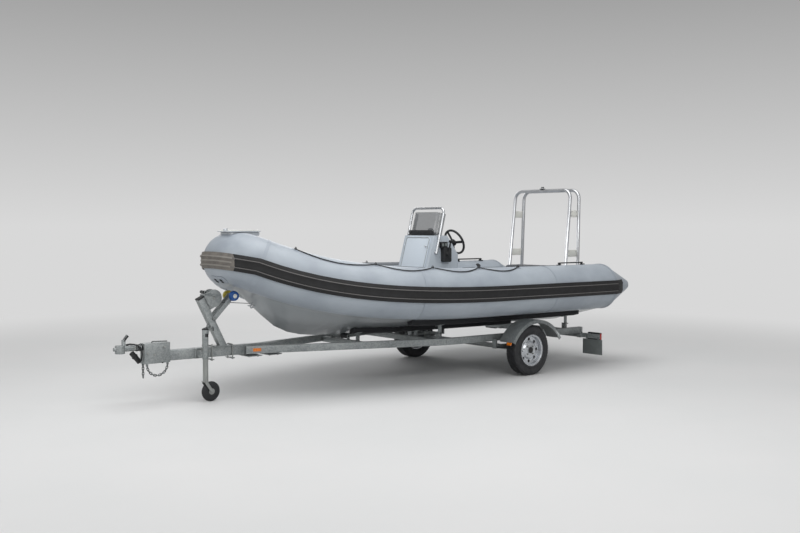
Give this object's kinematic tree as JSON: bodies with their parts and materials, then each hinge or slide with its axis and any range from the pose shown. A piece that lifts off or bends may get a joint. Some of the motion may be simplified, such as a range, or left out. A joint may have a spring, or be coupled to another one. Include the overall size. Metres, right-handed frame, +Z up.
{
  "type": "rigid inflatable boat on a road trailer",
  "caption": "Rigid-hulled inflatable boat with console, windscreen and stern arch, parked on a braced V-frame road trailer with winch post, jockey stand and ball coupler.",
  "frame": {"origin": "on the ground under the middle of the whole object, boat and trailer together, midway between the coupler's tip and the tubes' stern tips", "axes": "+X to the bow and the coupler, +Y to port, +Z up"},
  "size_m": [6.5103, 2.4676, 2.2333],
  "materials": {
    "tube_fabric": "satin coated fabric",
    "strake_rubber": "matte",
    "hull_grp": "gloss gelcoat",
    "deck_grp": "non-slip gelcoat",
    "console_grp": "gloss gelcoat",
    "smoked_screen": "smoked",
    "polished_tube": "polished",
    "stainless": "brushed",
    "black_plastic": "matte",
    "black_rubber": "matte",
    "rope": "braided",
    "cushion": "vinyl",
    "galvanised": "galvanised",
    "zinc_plate": "zinc plated",
    "tyre": "matte",
    "rim": "silver paint",
    "roller_blue": "moulded",
    "bunk_pad": "matte",
    "lamp_lens": "gloss",
    "plate_grey": "matte"
  },
  "bodies": {
    "boat_and_trailer": {"tube_collar": "tube_fabric", "stern_cones": "tube_fabric", "rub_strake": "strake_rubber", "rigid_hull": "hull_grp", "deck": "deck_grp", "transom": "hull_grp", "stern_bench": "deck_grp", "bench_cushion": "cushion", "console": "console_grp", "windscreen": "smoked_screen", "console_rail": "stainless", "dash": "black_plastic", "throttle": "black_plastic", "arch_front_hoop": "polished_tube", "arch_rear_hoop": "polished_tube", "arch_plates": "polished_tube", "arch_light": "black_plastic", "bow_plate": "deck_grp", "bow_eye": "stainless", "lifelines": "rope", "tube_handles": "black_rubber", "drawbar": "galvanised", "side_rails": "galvanised", "crossmembers": "galvanised", "axle": "galvanised", "leaf_springs": "galvanised", "fenders": "galvanised", "bunks": "bunk_pad", "bunk_posts": "galvanised", "keel_rollers": "black_rubber", "winch_post": "galvanised", "bow_rollers": "roller_blue", "winch": "zinc_plate", "winch_strap": "black_rubber", "jack_bracket": "galvanised", "coupler": "zinc_plate", "safety_chains": "zinc_plate", "light_plug": "black_plastic", "light_bar": "galvanised", "tail_lamps": "lamp_lens", "number_plate": "plate_grey"},
    "wheel_port": {"tyre_port": "tyre", "rim_port": "rim"},
    "wheel_starboard": {"tyre_starboard": "tyre", "rim_starboard": "rim"},
    "jack_outer": {"jack_outer": "galvanised"},
    "jack_leg": {"jack_leg": "zinc_plate"},
    "jack_fork": {"jack_fork": "zinc_plate"},
    "jack_wheel": {"jack_wheel": "black_rubber"},
    "steering_wheel": {"steering_wheel": "black_plastic"},
    "console_hatch": {"console_hatch": "console_grp"}
  },
  "joints": [
    {"name": "wheel_port_spin", "type": "hinge", "parent": "boat_and_trailer", "child": "wheel_port", "pos_m": [-1.315, 1.007, 0.289], "axis": [0, 1, 0], "continuous": true},
    {"name": "wheel_starboard_spin", "type": "hinge", "parent": "boat_and_trailer", "child": "wheel_starboard", "pos_m": [-1.315, -1.007, 0.289], "axis": [0, 1, 0], "continuous": true},
    {"name": "jack_swing", "type": "hinge", "parent": "boat_and_trailer", "child": "jack_outer", "pos_m": [2.382, 0.15, 0.46852], "axis": [0, 1, 0], "range_deg": [0, 90]},
    {"name": "jack_extend", "type": "slide", "parent": "jack_outer", "child": "jack_leg", "axis": [0, 0, 1], "range_m": [-0.05, 0.19]},
    {"name": "jack_swivel", "type": "hinge", "parent": "jack_leg", "child": "jack_fork", "pos_m": [2.382, 0.15, 0.2], "axis": [0, 0, 1], "continuous": true},
    {"name": "jack_wheel_spin", "type": "hinge", "parent": "jack_fork", "child": "jack_wheel", "pos_m": [2.327, 0.15, 0.098], "axis": [0, 1, 0], "continuous": true},
    {"name": "steering", "type": "hinge", "parent": "boat_and_trailer", "child": "steering_wheel", "pos_m": [-1.1, 0, 1.527], "axis": [-0.9135, 0, 0.4067], "range_deg": [-540, 540]},
    {"name": "hatch_hinge", "type": "hinge", "parent": "boat_and_trailer", "child": "console_hatch", "pos_m": [-0.39996, -0.222, 1.17266], "axis": [0.2773, 0, -0.9608], "range_deg": [0, 110]}
  ]
}
